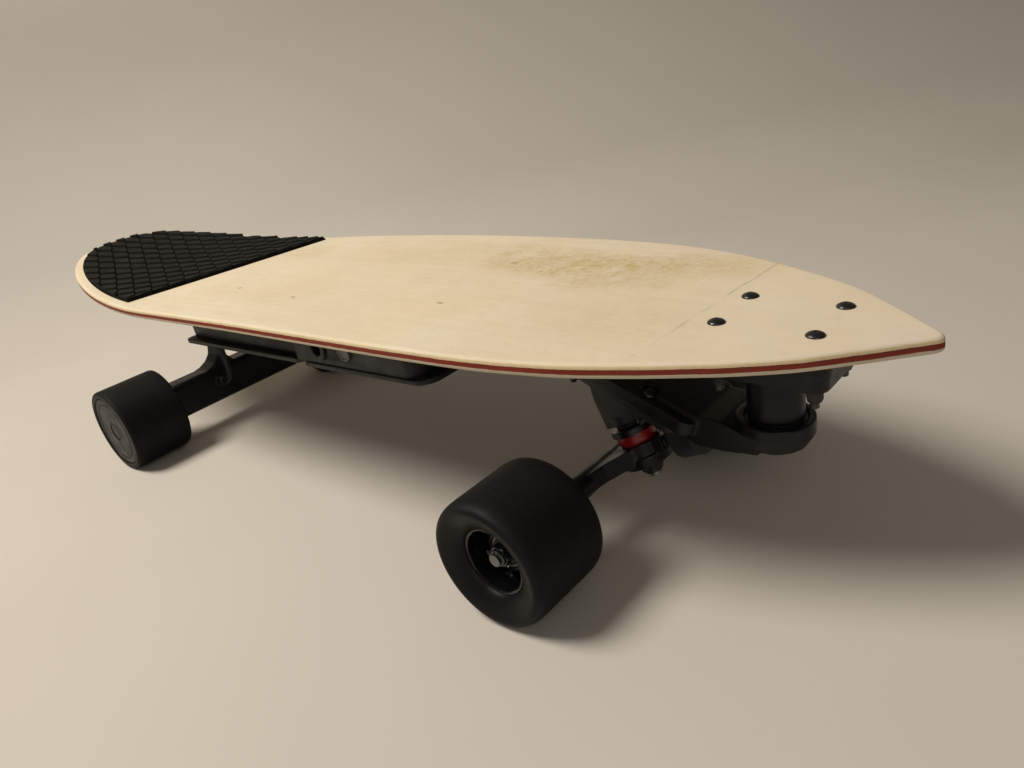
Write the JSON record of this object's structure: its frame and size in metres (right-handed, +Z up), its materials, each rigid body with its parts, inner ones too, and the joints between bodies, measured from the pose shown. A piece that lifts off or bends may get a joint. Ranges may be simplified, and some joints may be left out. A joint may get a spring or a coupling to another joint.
{
  "type": "electric skateboard",
  "caption": "Short surf-style electric skateboard: pale pointed wooden deck with a grooved tail pad, swinging front truck, rear hub motors and a slim underslung enclosure.",
  "frame": {"origin": "on the ground under the middle of the deck, the bottom centre of the bounding box", "axes": "+X towards the pointed nose, +Y to the rider's left when facing the nose, +Z up; the wheels stand on z = 0"},
  "size_m": [0.934, 0.304, 0.1989],
  "materials": {
    "maple_top": "satin",
    "red_ply": "satin",
    "maple_bottom": "satin",
    "eva_pad": "matte",
    "black_steel": "satin",
    "black_cast": "satin",
    "grey_cast": "satin",
    "zinc_steel": "satin",
    "amber_urethane": "satin",
    "black_rubber": "matte",
    "pivot_plastic": "matte",
    "red_urethane": "gloss",
    "bronze": "satin",
    "enclosure_plastic": "matte",
    "button_plastic": "gloss",
    "cell_wrap": "gloss",
    "circuit_board": "gloss",
    "plate_aluminium": "satin",
    "cable_jacket": "satin",
    "black_urethane": "satin",
    "core_plastic": "gloss",
    "copper_winding": "gloss",
    "motor_aluminium": "satin"
  },
  "bodies": {
    "board": {"deck_top_plies": "maple_top", "deck_red_plies": "red_ply", "deck_bottom_plies": "maple_bottom", "tail_pad": "eva_pad", "deck_bolts": "black_steel", "deck_lock_nuts": "black_steel", "adapter_base": "black_cast", "adapter_pivot_bolt": "zinc_steel", "adapter_thrust_washers": "zinc_steel", "centring_sleeve": "amber_urethane", "rear_riser_pad": "black_rubber", "rear_baseplate": "black_cast", "rear_kingpin": "zinc_steel", "rear_bushings": "black_rubber", "rear_cup_washers": "zinc_steel", "rear_kingpin_nut": "zinc_steel", "rear_pivot_cup": "pivot_plastic", "enclosure_shell": "enclosure_plastic", "enclosure_gasket": "black_rubber", "enclosure_screws": "black_steel", "threaded_inserts": "bronze", "battery_cells": "cell_wrap", "battery_bms": "circuit_board", "motor_controller": "circuit_board", "heatsink_plate": "plate_aluminium", "enclosure_lid": "enclosure_plastic", "charge_port": "enclosure_plastic", "motor_cables": "cable_jacket"},
    "power_button": {"power_button": "button_plastic"},
    "swivel_arm": {"swivel_arm": "black_cast", "arm_bush": "bronze", "front_baseplate": "grey_cast", "front_truck_bolts": "black_steel", "front_kingpin": "zinc_steel", "front_boardside_bushing": "red_urethane", "front_roadside_bushing": "red_urethane", "front_cup_washers": "zinc_steel", "front_kingpin_nut": "zinc_steel", "front_pivot_cup": "pivot_plastic"},
    "front_hanger": {"front_hanger": "black_cast", "front_axle": "zinc_steel", "front_axle_nuts": "zinc_steel", "front_speed_washers": "zinc_steel", "front_bearing_spacers": "zinc_steel"},
    "front_left_wheel": {"front_left_tyre": "black_urethane", "front_left_core": "core_plastic", "front_left_bearings": "zinc_steel"},
    "front_right_wheel": {"front_right_tyre": "black_urethane", "front_right_core": "core_plastic", "front_right_bearings": "zinc_steel"},
    "rear_hanger": {"rear_hanger": "black_cast", "motor_axles": "zinc_steel", "motor_stators": "copper_winding"},
    "rear_left_wheel": {"rear_left_sleeve": "black_urethane", "rear_left_can": "motor_aluminium", "rear_left_cover": "motor_aluminium"},
    "rear_right_wheel": {"rear_right_sleeve": "black_urethane", "rear_right_can": "motor_aluminium", "rear_right_cover": "motor_aluminium"}
  },
  "joints": [
    {"name": "adapter_swing", "type": "hinge", "parent": "board", "child": "swivel_arm", "pos_m": [0.37617, 0, 0.09084], "axis": [0.0579, 0, 0.9983], "range_deg": [-28, 28], "stiffness_Nm_per_rad": 12},
    {"name": "front_lean", "type": "hinge", "parent": "swivel_arm", "child": "front_hanger", "pos_m": [0.2797, 0, 0.0517], "axis": [0.9272, 0, 0.3746], "range_deg": [-12, 12], "stiffness_Nm_per_rad": 80, "deforming": ["front_boardside_bushing", "front_roadside_bushing"]},
    {"name": "front_left_spin", "type": "hinge", "parent": "front_hanger", "child": "front_left_wheel", "pos_m": [0.261, 0.1124, 0.0425], "axis": [0, 1, 0], "continuous": true},
    {"name": "front_right_spin", "type": "hinge", "parent": "front_hanger", "child": "front_right_wheel", "pos_m": [0.261, -0.1124, 0.0425], "axis": [0, 1, 0], "continuous": true},
    {"name": "rear_lean", "type": "hinge", "parent": "board", "child": "rear_hanger", "pos_m": [-0.252, 0, 0.104], "axis": [0.9063, 0, -0.4226], "range_deg": [-12, 12], "stiffness_Nm_per_rad": 110, "deforming": ["rear_bushings", "motor_cables"]},
    {"name": "rear_left_spin", "type": "hinge", "parent": "rear_hanger", "child": "rear_left_wheel", "pos_m": [-0.255, 0.1225, 0.043], "axis": [0, 1, 0], "continuous": true},
    {"name": "rear_right_spin", "type": "hinge", "parent": "rear_hanger", "child": "rear_right_wheel", "pos_m": [-0.255, -0.1225, 0.043], "axis": [0, 1, 0], "continuous": true},
    {"name": "power_press", "type": "slide", "parent": "board", "child": "power_button", "axis": [0, 1, 0], "range_m": [0, 0.0012], "stiffness_N_per_m": 600}
  ]
}
